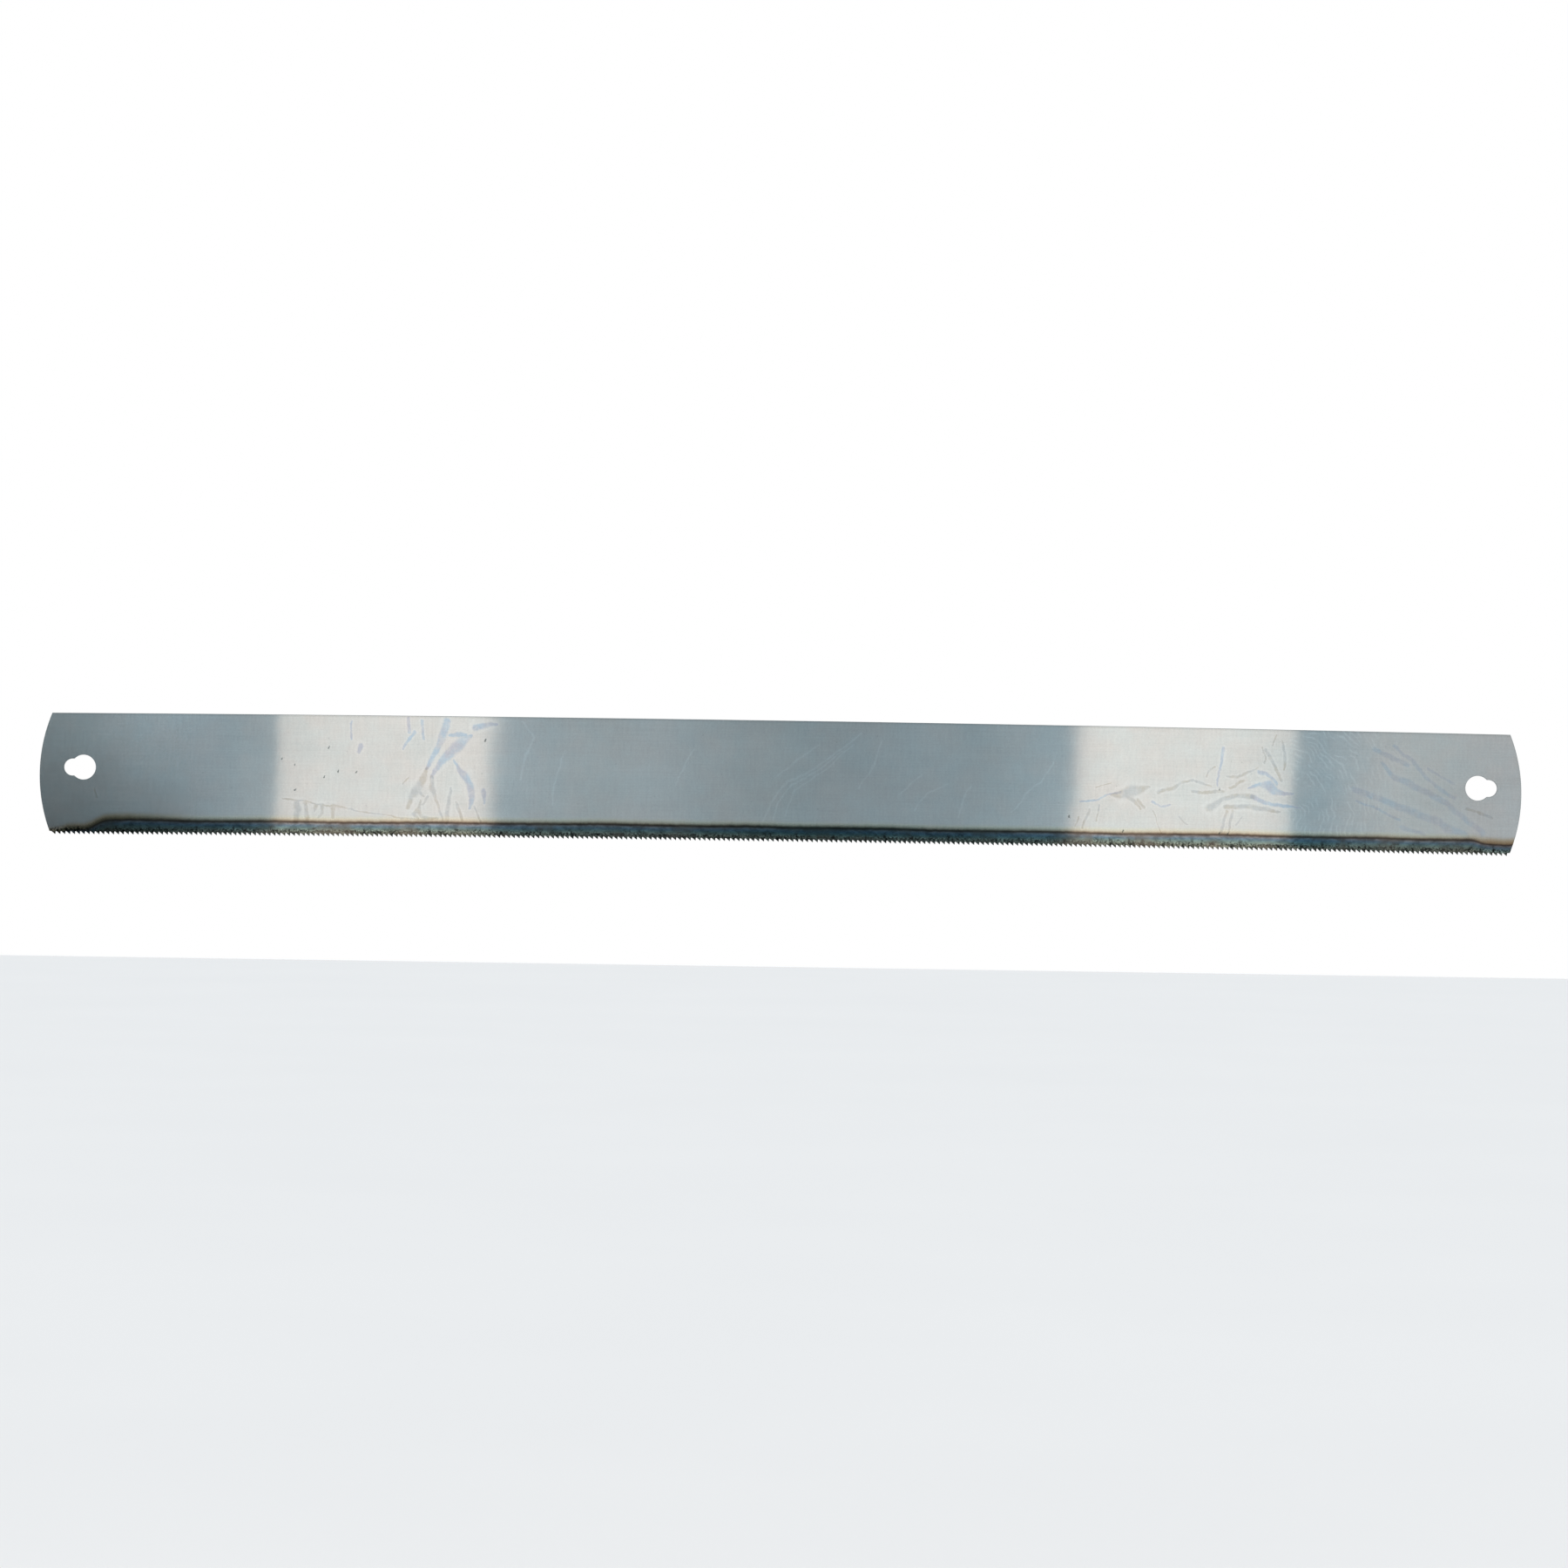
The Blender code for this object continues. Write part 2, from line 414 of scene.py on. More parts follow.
# The steel's colour (linear) by height h above the tooth tips: grey-green teeth, the blue band that hardening
# leaves, the dark line of its edge with a straw fringe, then the plain steel
TINT_TOP = 9.0
PLAIN_STEEL = (0.58, 0.58, 0.565)
TINTS = (
    (0.0, (0.12, 0.12, 0.10)),
    (1.3, (0.125, 0.125, 0.10)),
    (1.9, (0.125, 0.135, 0.11)),
    (2.6, (0.165, 0.205, 0.18)),
    (3.2, (0.15, 0.215, 0.215)),
    (3.9, (0.125, 0.185, 0.235)),
    (4.4, (0.18, 0.21, 0.25)),
    (4.8, (0.20, 0.19, 0.195)),
    (5.1, (0.105, 0.085, 0.08)),
    (5.45, (0.09, 0.065, 0.05)),
    (5.8, (0.25, 0.20, 0.15)),
    (6.1, (0.42, 0.365, 0.285)),
    (6.5, (0.55, 0.50, 0.405)),
    (7.1, (0.595, 0.58, 0.505)),
    (8.0, PLAIN_STEEL),
)

# How far the steel is bare metal rather than scattering, by the same heights
BARENESS = ((0.0, 0.84), (2.2, 0.86), (3.0, 0.98), (5.6, 1.0), (6.3, 0.85), (7.2, 0.70))

# How far the hardened band's edge drops (mm) at places u along the blade
LINE_DROPS = (
    (-275, 5.8),
    (-268, 5.2),
    (-264, 3.7),
    (-258, 3.6),
    (-255, 2.5),
    (-252, 0.7),
    (-249, 0.1),
    (-243, 0.0),
    (-180, 0.2),
    (-60, -0.1),
    (60, 0.1),
    (180, 0.0),
    (250, -0.1),
    (257, -0.4),
    (261, 0.9),
    (270, 1.3),
    (275, 0.6),
)
DROP_RANGE = 12.0

# How far along the blade the back face's marks lie from the front face's, mirrored, how strong they are, and
# how far apart the two faces lie in the noise
BACK_SHIFT = 43.0
BACK_MARKS = 0.2
FACE_GAP = 40.0

# The middle (u, h) of the rings that a hand left in the oil
FILM_MIDDLE = (180.0, 12.0)
FILM_ELSEWHERE = 0.12

# Where things set in or fade out, from and to: along the blade (u), then above the tips (h)
LEFT_HEAT = (-212.0, -252.0)
RIGHT_HEAT = (255.0, 264.0)
LEFT_END_GRADIENT = (-198.0, -238.0)
BARE_END = (-195.0, -262.0)
FILM_LEFT = (184.0, 194.0)
FILM_RIGHT = (234.0, 206.0)
FAINT_SMEARS = (196.0, 212.0)
HARD_EDGE = (6.2, 4.8)
WOBBLY = (2.0, 4.5)
FRINGE_LOW = (5.3, 6.0)
FRINGE_HIGH = (9.0, 6.4)
BLOTCHED = (4.6, 2.0)
CRUMBLED = (2.9, 2.1)
TOOTH_SIDES = (2.4, 1.2)
# The painted shade along the back edge, from where it starts to its full depth (h)
BACK_EDGE_SHADE = (43.9, 44.8)
# The height (h) at which the left end is neither darker nor lighter
LEFT_END_GRADIENT_MIDDLE = 24.0

# Noise over the faces: scale, detail, roughness, and how far u and h are squeezed before it
SLOW_WOBBLE = (0.022, 1.0, 0.5, (1.0, 0.0))
QUICK_WOBBLE = (0.35, 2.0, 0.5, (1.0, 0.0))
BLOTCHES = (1.0, 3.0, 0.65, (0.42, 0.40))
CRUMBS = (1.3, 2.0)
STREAKS = (1.0, 3.0, 0.6, (0.26, 0.5))
BROWN_PATCHES = (0.07, 3.0)
CLOUDS = (0.05, 4.0, 0.6, (0.6, 1.0))
ROLLING_LINES = (2.6, 4.0, 0.65, (0.012, 1.0))
UPRIGHT_LINES = (1.1, 3.0, 0.6, (1.0, 0.12))
GRAIN = (1.5, 2.0)
HUES = (0.075, 3.0, 0.6)
FILM_BREAKS = (0.22, 2.0)
SMEAR_WARP = (0.14, 1.0)
SMEAR_FRAY = (0.9, 1.0)
SMEAR_PATCHES = (0.4, 2.0)
SMEAR_HUES = (0.15, 2.0)
SHEET_WAVES = (0.035, 1.0)
SHEET_RIPPLES = (0.16, 1.0)

# Colours laid into the steel (linear), then casts that multiply it
STRAW_BROWN = (0.34, 0.22, 0.11, 1.0)
BLOTCH_BLACK = (0.022, 0.024, 0.020, 1.0)
BROWN_GREY = (0.16, 0.13, 0.105, 1.0)
SPECK_GREY = (0.10, 0.10, 0.09, 1.0)
NO_CAST = (1.0, 1.0, 1.0, 1.0)
WARM_CAST = (1.025, 0.99, 0.98, 1.0)
COOL_CAST = (0.98, 1.01, 1.02, 1.0)
HALO_CAST = (1.045, 1.045, 1.05, 1.0)
VIOLET_SMEAR = (0.76, 0.79, 0.90, 1.0)
BLUE_SMEAR = (0.72, 0.85, 1.0, 1.0)
TAN_SMEAR = (0.82, 0.79, 0.74, 1.0)
GREY_SMEAR = (0.80, 0.81, 0.83, 1.0)
PALE_SMEAR = (1.11, 1.12, 1.13, 1.0)

ROUGHNESS = 0.065
SHEET_WAVE_HEIGHT = 0.000035

# Smears of old oil, as (u, h, width) points in mm; each is one finger stroke or wiped drop
BLUE_SMEARS = (
    ((-124, 43.5, 2), (-126, 35.5, 2), (-128.5, 30.5, 1.5), (-131, 25.5, 1.1)),
    (
        (-114.5, 38.5, 0.8),
        (-118.5, 35.5, 3.6),
        (-122, 31.5, 3),
        (-125.5, 28, 1.9),
        (-128, 25, 1.3),
        (-129, 22.5, 1),
    ),
    (
        (-121, 28.5, 0.5),
        (-119, 25, 1.2),
        (-117, 23, 2.6),
        (-115.5, 20, 2),
        (-114.5, 15, 1.8),
        (-115, 11, 0.8),
    ),
    ((-123, 38, 1), (-120, 38.5, 1.5), (-117, 38.5, 1)),
    ((-113.5, 41.5, 2), (-109.5, 42, 1.8), (-106, 42.5, 0.8)),
    ((-138.5, 43.5, 1.2), (-138, 39, 1)),
    ((-136, 39.5, 0.9), (-140.5, 32.5, 0.6)),
    ((-133.5, 43, 0.9), (-133, 37, 0.8)),
    ((-159.5, 42.5, 0.7), (-159.5, 36.5, 0.7)),
    ((-155.5, 34, 1.5), (-157, 31.5, 1)),
    ((-110, 17, 1.8), (-109.5, 13, 0.6)),
    ((111.5, 17, 0.5), (118, 18, 0.5), (126, 20.5, 0.5)),
    ((138, 17, 0.7), (141, 15.5, 0.7), (144.5, 16, 0.7)),
    ((162.5, 23.5, 0.5), (162.5, 29, 0.7), (163.5, 33.5, 0.9), (164.5, 38, 0.9)),
    ((177, 29, 1), (180, 29, 1), (182, 27, 1), (184, 24.5, 1)),
    ((173.5, 23, 0.5), (177.5, 25, 1.3), (181, 24.5, 2.6), (183.5, 22, 2), (186.5, 21, 1.3), (190, 21, 0.5)),
    ((175.5, 20, 1.6), (180, 18, 1.3), (185.5, 16.5, 0.9), (193, 16, 0.5)),
    ((220.5, 38.5, 1.4), (228, 35, 1.4), (232.5, 33, 1.4)),
    ((223.5, 33, 1.4), (228, 28.5, 1.7), (237, 24.5, 1.9), (247.5, 19, 1.9), (252, 15.5, 1.7), (261, 8, 1.5)),
    ((228, 40, 1.1), (233, 35.5, 1.1), (239, 29.5, 1.1), (244.5, 24.5, 1.1), (250.5, 21, 1.1)),
    ((213, 23.5, 1.7), (224.5, 19.5, 2), (238, 14, 2.3), (242.5, 13, 2), (248, 10, 2.3), (254.5, 7, 2)),
    ((213.5, 19.5, 0.7), (220, 17, 0.7), (230, 12.5, 0.7)),
    ((230.5, 10, 1.1), (239, 7, 1.1)),
    ((240.5, 32, 0.7), (250, 26, 0.7)),
)
TAN_SMEARS = (
    ((-184.5, 14, 0.5), (-138, 7, 0.5), (-133, 6.5, 0.5), (-127.5, 6.5, 0.5)),
    ((-179.5, 12.5, 1.6), (-179, 9, 2), (-179.5, 6, 1.6)),
    ((-176.5, 12, 1.2), (-175, 6.5, 1.2)),
    ((-172, 11.5, 1.4), (-172.5, 9.5, 0.6)),
    ((-169.5, 11.5, 1.3), (-169.5, 9, 0.8), (-171, 7, 0.6)),
    ((-166, 11, 1.3), (-166.5, 7, 0.8)),
    ((-131, 25.5, 1.1), (-132.5, 21.5, 2.1), (-134.5, 18, 2.3), (-137, 15, 1.6), (-138.5, 11, 0.9)),
    ((-129, 22.5, 1.1), (-129, 17.5, 1.4), (-127.5, 13.5, 0.7), (-126, 9.5, 0.7), (-125, 6, 0.6)),
    ((-122.5, 18.5, 0.6), (-123, 13.5, 1.2), (-123.5, 6, 1.3)),
    ((-120.5, 13, 0.6), (-118.5, 10, 0.9), (-117.5, 6, 0.7)),
    ((-113.5, 11.5, 0.5), (-111, 6, 0.6)),
    ((-133.5, 14, 0.6), (-134.5, 10, 1.3), (-133, 7.5, 1), (-127, 6.5, 0.7)),
    ((-133.5, 16.5, 0.9), (-132, 15, 0.5)),
    ((-130.5, 15, 0.6), (-132.5, 12.5, 0.7)),
    ((-138, 22, 0.5), (-140, 20, 0.5)),
    ((-254.5, 17, 0.5), (-253.5, 14, 0.8)),
    ((-133.5, 12.5, 0.7), (-136.5, 9, 1.1), (-134.5, 7, 0.7)),
    ((122.5, 19, 0.6), (126, 19.5, 2.4), (130, 21, 3.2), (133.5, 21.5, 2.4), (137, 23, 0.8)),
    ((128, 19.5, 1), (132, 17.5, 1), (134, 15, 0.6)),
    ((117, 22, 0.4), (122.5, 24, 0.4)),
    ((140.5, 21, 1.2), (146, 22.5, 0.9), (148.5, 24.5, 0.8), (153, 25.5, 0.7), (160, 23.5, 0.5)),
    ((133, 18, 0.7), (135.5, 15, 0.7)),
    ((138.5, 13.5, 0.4), (142, 5.5, 0.4)),
    ((148, 12, 0.5), (151.5, 9, 0.5)),
    ((158.5, 27, 0.5), (159.5, 29, 0.5), (161, 31, 0.5)),
    ((165.5, 27.5, 0.5), (170, 27, 1), (173, 28.5, 0.7), (177, 30.5, 0.4)),
    ((152.5, 21.5, 0.9), (164.5, 21.5, 0.9)),
    ((167, 23, 0.8), (169.5, 24.5, 0.8), (172, 25.5, 0.8)),
    ((159.5, 15.5, 2.6), (164.5, 18.5, 1.3), (169.5, 20, 1.5), (175.5, 20, 1.6)),
    ((165.5, 15.5, 1.3), (173, 16, 1.3), (179, 15.5, 1.5), (185.5, 14.5, 0.5)),
    ((178.5, 38, 0.5), (180, 34.5, 0.5), (179.5, 32, 0.5)),
    ((180, 37, 0.9), (183, 32, 0.9), (186, 26, 0.9)),
    ((186, 41, 0.5), (187.5, 36, 0.9), (187, 30, 0.6)),
    ((183.5, 43, 0.4), (182.5, 39, 0.6)),
    ((112.5, 7, 0.7), (114.5, 14, 0.7)),
    ((109.5, 7.5, 0.5), (111, 11.5, 0.5)),
    ((117, 10, 0.5), (118, 16, 0.5)),
    ((163.5, 6.5, 0.8), (166, 14, 0.8)),
    ((166.5, 7, 0.7), (168, 14, 0.7)),
    ((169, 9.5, 0.5), (171.5, 12, 0.5)),
    ((255, 17, 0.8), (264, 14, 0.8)),
)
PALE_SMEARS = (
    ((-6, 8, 0.6), (-4, 14, 0.7), (1, 21, 0.7), (10, 26, 0.7), (20, 33, 0.7), (30, 41, 0.5)),
    ((-3, 8, 0.5), (-1, 15, 0.6), (4, 21, 0.6), (13, 26.5, 0.6), (23, 34, 0.5)),
    ((2, 10, 0.5), (5, 19, 0.6), (12, 24, 0.6), (19, 29, 0.5), (27, 37, 0.5)),
    ((-1, 24, 0.5), (6, 31, 0.6), (14, 36, 0.5)),
    ((29, 20, 0.5), (33, 27, 0.7), (35.5, 32, 0.6), (37, 38, 0.4)),
    ((44, 18, 0.5), (48, 22, 0.6), (53, 26, 0.5)),
    ((50, 12, 0.5), (55, 19, 0.6), (62, 23, 0.5)),
    ((66, 10, 0.4), (68, 17, 0.6), (71, 22, 0.4)),
    ((86, 12, 0.5), (91, 19, 0.6), (97, 24, 0.6), (101, 31, 0.5)),
    ((-97, 22, 0.7), (-95, 31, 0.9), (-92, 38, 0.7), (-96, 43, 0.6)),
    ((-85, 12, 0.5), (-83, 24, 0.6), (-80, 33, 0.4)),
    ((-39, 20, 0.4), (-36, 28, 0.6), (-32, 34, 0.4)),
)

# Specks as (u, h, size) in mm
SPECKS = (
    (-185.5, 28, 0.6),
    (-180, 26.5, 0.6),
    (-180, 17, 0.6),
    (-169, 22, 0.7),
    (-168, 33, 0.8),
    (-164.5, 24, 0.7),
    (-157, 23.5, 0.6),
    (-110, 36, 0.8),
    (107, 11, 0.9),
    (127, 6, 0.8),
    (163, 22, 0.7),
    (163, 6, 0.7),
    (166, 6, 0.7),
)


# A distance, in half-widths, that is past every smear's edge
FAR_OFF = 9.0

# What a smear's stretch is given
STRETCH_INPUTS = (
    ("Place", "NodeSocketVector"),
    ("Start", "NodeSocketVector"),
    ("Run", "NodeSocketVector"),
    ("Along", "NodeSocketVector"),
    ("Reach", "NodeSocketFloat"),
    ("Widening", "NodeSocketFloat"),
    ("Nearest", "NodeSocketFloat"),
)


def stretch_group():
    """A node group for one straight stretch of a smear, which widens or narrows along its run.

    It gives the distance from Place to the stretch in half-widths, or Nearest if that is less. The stretch
    starts at Start and runs along Run. Along is Run over its squared length. Reach is the half-width at the
    start, and Widening is how much is added to it by the end.
    """
    tree = bpy.data.node_groups.new("smear_stretch", "ShaderNodeTree")
    for name, kind in STRETCH_INPUTS:
        tree.interface.new_socket(name=name, in_out="INPUT", socket_type=kind)
    tree.interface.new_socket(name="Nearest", in_out="OUTPUT", socket_type="NodeSocketFloat")
    given = tree.nodes.new("NodeGroupInput").outputs
    graph = Graph(tree)
    offset = graph.vector("SUBTRACT", given["Place"], given["Start"])
    along = graph.vector("DOT_PRODUCT", offset, given["Along"], "Value")
    along = graph.add("ShaderNodeClamp", {0: along})
    away = graph.vector("DISTANCE", offset, graph.scale(given["Run"], along), "Value")
    reach = graph.math("MULTIPLY_ADD", along, given["Widening"], given["Reach"])
    nearest = graph.math("MINIMUM", graph.math("DIVIDE", away, reach), given["Nearest"])
    tree.links.new(nearest, tree.nodes.new("NodeGroupOutput").inputs[0])
    return tree


def smear_reach(graph, group, place, smears):
    """How far place, a vector (u, h, 0), lies from the nearest smear, in the smear's half-widths."""
    nearest = FAR_OFF
    for smear in smears:
        for (au, ah, aw), (bu, bh, bw) in zip(smear, smear[1:]):
            run = (bu - au, bh - ah, 0.0)
            squared = run[0] ** 2 + run[1] ** 2
            node = graph.tree.nodes.new("ShaderNodeGroup")
            node.node_tree = group
            values = {
                "Place": place,
                "Start": (au, ah, 0.0),
                "Run": run,
                "Along": (run[0] / squared, run[1] / squared, 0.0),
                "Reach": aw / 2,
                "Widening": (bw - aw) / 2,
                "Nearest": nearest,
            }
            for key, value in values.items():
                graph.feed(node.inputs[key], value)
            nearest = node.outputs[0]
    return nearest


class Face:
    """Places on the blade's two faces as shader values, in mm: u along it, and h above its tips as they bow.

    side is -1 on the front and 1 on the back. own_u is u, but mirrored and shifted on the back, so that the
    two faces are marked in different places.
    """

    def __init__(self, graph):
        self.graph = graph
        x, y, z = graph.split(graph.scale(graph.add("ShaderNodeTexCoord", {}, "Object"), 1 / MM))
        self.u = graph.math("SUBTRACT", x, CENTRE_X / MM)
        fallen = graph.times(self.u, self.u, -CAMBER / MM / (PIN_PITCH / 2 / MM) ** 2)
        self.h = graph.math("SUBTRACT", z, graph.math("ADD", fallen, (TIP_Z + CAMBER) / MM))
        self.side = graph.math("SIGN", y)
        shift = graph.times(graph.math("ADD", self.side, 1.0), BACK_SHIFT / 2)
        self.own_u = graph.math("ADD", graph.times(self.u, graph.times(self.side, -1.0)), shift)
        self.layer = graph.times(self.side, FACE_GAP)
        self.spot = graph.combine(self.u, self.layer, self.h)

    def pattern(self, scale, detail, roughness=0.5, squeeze=None, output=0):
        """Noise over the faces, as the constants above give it; squeezing draws it out."""
        at = self.spot
        if squeeze:
            u, h = (self.graph.times(value, by) for value, by in zip((self.u, self.h), squeeze))
            at = self.graph.combine(u, self.layer, h)
        return self.graph.noise(at, scale, detail, roughness, output)


def band_level(graph, face):
    """Height above the tips as the hardening runs: h, moved where the band's edge isn't straight."""
    along = graph.math("MULTIPLY_ADD", face.u, MM / LENGTH, 0.5)
    stops = [(0.5 + at * MM / LENGTH, (0.5 + drop / DROP_RANGE,) * 3) for at, drop in LINE_DROPS]
    drop = graph.centred(graph.ramp(along, stops), DROP_RANGE)
    wobble = graph.centred(face.pattern(*SLOW_WOBBLE), 1.4)
    wobble = graph.math("ADD", wobble, graph.centred(face.pattern(*QUICK_WOBBLE), 0.5))
    wobble = graph.times(wobble, graph.between(face.h, *WOBBLY))
    return graph.math("ADD", graph.math("ADD", face.h, drop), wobble)


def band_tint(graph, face, level, hard):
    """The steel's colour by height, with the hardened band's straw fringe, blotches, specks and streaks."""
    stops = [(height / TINT_TOP, colour) for height, colour in TINTS]
    tint = graph.ramp(graph.math("DIVIDE", level, TINT_TOP), stops)

    # The fringe is wider and browner where the heat stopped, at both ends
    heated = graph.math("MAXIMUM", graph.between(face.u, *LEFT_HEAT), graph.between(face.u, *RIGHT_HEAT))
    fringe = graph.times(graph.between(level, *FRINGE_LOW), graph.between(level, *FRINGE_HIGH), heated, 0.7)
    tint = graph.mix(fringe, tint, STRAW_BROWN)

    # Towards the teeth the band is blotched black and speckled
    blotch = graph.between(face.pattern(*BLOTCHES), 0.53, 0.62, 0.0, 0.92)
    tint = graph.mix(graph.times(graph.between(face.h, *BLOTCHED), blotch), tint, BLOTCH_BLACK)
    crumb = graph.between(face.pattern(*CRUMBS), 0.35, 0.65, 0.75, -0.8)
    crumb = graph.times(graph.between(face.h, *CRUMBLED), crumb)
    tint = graph.scale(tint, graph.math("SUBTRACT", 1.0, crumb))

    # All of it is streaked, with a brown cast here and there
    streak = graph.between(face.pattern(*STREAKS), 0.3, 0.7, 1.35, 0.65)
    tint = graph.scale(tint, graph.mix_value(hard, 1.0, streak))
    brown = graph.between(face.pattern(*BROWN_PATCHES), 0.52, 0.66, 0.0, 0.45)
    return graph.mix(graph.times(brown, hard), tint, BROWN_GREY)


def oil_film(graph, face):
    """Feathered, broken rings in the oil by the right end, and a trace of them elsewhere."""
    middle_u, middle_h = FILM_MIDDLE
    place = graph.combine(face.own_u, face.layer, face.h)
    rings = graph.add(
        "ShaderNodeTexWave",
        {
            "Vector": graph.vector("SUBTRACT", place, (middle_u, 0.0, middle_h)),
            "Scale": 0.17,
            "Distortion": 21.0,
            "Detail": 3.0,
            "Detail Scale": 0.5,
        },
        1,
        wave_type="RINGS",
        rings_direction="Y",
    )
    broken = graph.between(face.pattern(*FILM_BREAKS), 0.42, 0.58)
    oily = graph.times(graph.between(face.own_u, *FILM_LEFT), graph.between(face.own_u, *FILM_RIGHT))
    return graph.times(graph.between(rings, 0.55, 0.98), broken, graph.math("ADD", oily, FILM_ELSEWHERE))


def steel_shade(graph, face, clouds, lines):
    """How light the steel is, about 1: noise, the oil film, painted shade at the back edge, and a left end
    darker towards the teeth and lighter towards the back.
    """
    upright, grain = face.pattern(*UPRIGHT_LINES), face.pattern(*GRAIN)
    shade = 1.0
    for noise, reach in ((clouds, 0.24), (lines, 0.22), (upright, 0.18), (grain, 0.22)):
        shade = graph.math("ADD", graph.centred(noise, reach), shade)
    shade = graph.math("MULTIPLY_ADD", oil_film(graph, face), 0.13, shade)
    # Painted shade: a thin darker band along the back edge, standing in for the rounded rim's shading
    shade = graph.times(shade, graph.between(face.h, *BACK_EDGE_SHADE, 1.0, 0.86))
    # At the left end the face is darker towards the teeth and lighter towards the back
    left_end = graph.times(graph.between(face.u, *LEFT_END_GRADIENT), 0.385)
    rise = graph.math("MULTIPLY_ADD", face.h, 1 / LEFT_END_GRADIENT_MIDDLE, -1.0)
    return graph.times(shade, graph.math("MULTIPLY_ADD", left_end, rise, 1.0))


def scattered_flecks(graph, face):
    """Small flecks, in about a quarter of the cells of a loose grid."""
    cells = graph.tree.nodes.new("ShaderNodeTexVoronoi")
    graph.feed(cells.inputs["Vector"], face.spot)
    cells.inputs["Scale"].default_value = 0.28
    picked = graph.split(cells.outputs["Color"])[0]
    fleck = graph.between(cells.outputs["Distance"], 0.11, 0.04)
    return graph.times(fleck, graph.between(picked, 0.72, 0.8, 0.0, 0.35))


def smear_place(graph, face):
    """The place (u, h, 0) on a face, moved about by noise so that the smears' outlines waver and fray."""
    place = graph.combine(face.own_u, face.h, 0.0)
    for noise, reach in ((SMEAR_WARP, 2.4), (SMEAR_FRAY, 0.7)):
        offset = graph.vector("SUBTRACT", face.pattern(*noise, output=1), (0.5, 0.5, 0.5))
        place = graph.vector("ADD", place, graph.scale(offset, reach))
    return graph.vector("MULTIPLY", place, (1.0, 1.0, 0.0))


def add_marks(graph, face, colour):
    """A colour with smears of old oil and specks on it, and how far each place is smeared and specked."""
    place = smear_place(graph, face)
    group = stretch_group()
    patchy = graph.between(face.pattern(*SMEAR_PATCHES), 0.3, 0.6, 0.6, 1.0)
    blue = smear_reach(graph, group, place, BLUE_SMEARS)
    tan = smear_reach(graph, group, place, TAN_SMEARS)
    pale = smear_reach(graph, group, place, PALE_SMEARS)
    dots = [((at, up, size), (at + 0.3, up + 0.6, size / 2)) for at, up, size in SPECKS]
    speck = smear_reach(graph, group, place, dots)

    strength = graph.math("MULTIPLY_ADD", face.side, (BACK_MARKS - 1) / 2, (BACK_MARKS + 1) / 2)
    blue_strength = graph.times(graph.between(face.own_u, *FAINT_SMEARS, 1.0, 0.55), strength)
    halo = graph.times(graph.between(graph.math("MINIMUM", blue, tan), 3.4, 2.0), blue_strength)
    blue = graph.times(graph.between(blue, 1.7, 0.7), patchy, blue_strength)
    tan = graph.times(graph.between(tan, 1.8, 0.7), patchy, strength)
    pale = graph.times(graph.between(pale, 1.8, 0.3), patchy, strength)
    speck = graph.math("MAXIMUM", graph.between(speck, 1.2, 0.3), scattered_flecks(graph, face))

    hue = graph.between(face.pattern(*SMEAR_HUES), 0.42, 0.6)
    blue_cast = graph.mix(hue, VIOLET_SMEAR, BLUE_SMEAR)
    tan_cast = graph.mix(hue, TAN_SMEAR, GREY_SMEAR)
    for share, cast in ((halo, HALO_CAST), (blue, blue_cast), (tan, tan_cast), (pale, PALE_SMEAR)):
        colour = graph.vector("MULTIPLY", colour, graph.mix(share, NO_CAST, cast))
    colour = graph.mix(graph.times(speck, 0.5), colour, SPECK_GREY)
    return colour, graph.math("MAXIMUM", blue, tan), speck


def steel_bareness(graph, face, level):
    """How far the steel is bare metal, by height; the left end is barer."""
    stops = [(height / TINT_TOP, (value,) * 3) for height, value in BARENESS]
    bare = graph.ramp(graph.math("DIVIDE", level, TINT_TOP), stops)
    bare = graph.math("MULTIPLY_ADD", graph.between(face.u, *BARE_END), 0.13, bare)
    return graph.math("MINIMUM", bare, 1.0)


def steel_bump(graph, face, lines):
    """Slow waves in the sheet, which bend the reflections' edges; the rolling lines are far finer."""
    height = graph.math("MULTIPLY_ADD", face.pattern(*SHEET_RIPPLES), 0.08, face.pattern(*SHEET_WAVES))
    height = graph.math("MULTIPLY_ADD", lines, 0.004, height)
    return graph.add("ShaderNodeBump", {"Strength": 1.0, "Distance": SHEET_WAVE_HEIGHT, "Height": height})


def new_material(name, colour):
    """A material with nodes, its shader and its graph."""
    material = bpy.data.materials.new(name)
    material.use_nodes = True
    material.diffuse_color = (*colour, 1.0)
    return material, material.node_tree.nodes["Principled BSDF"], Graph(material.node_tree)


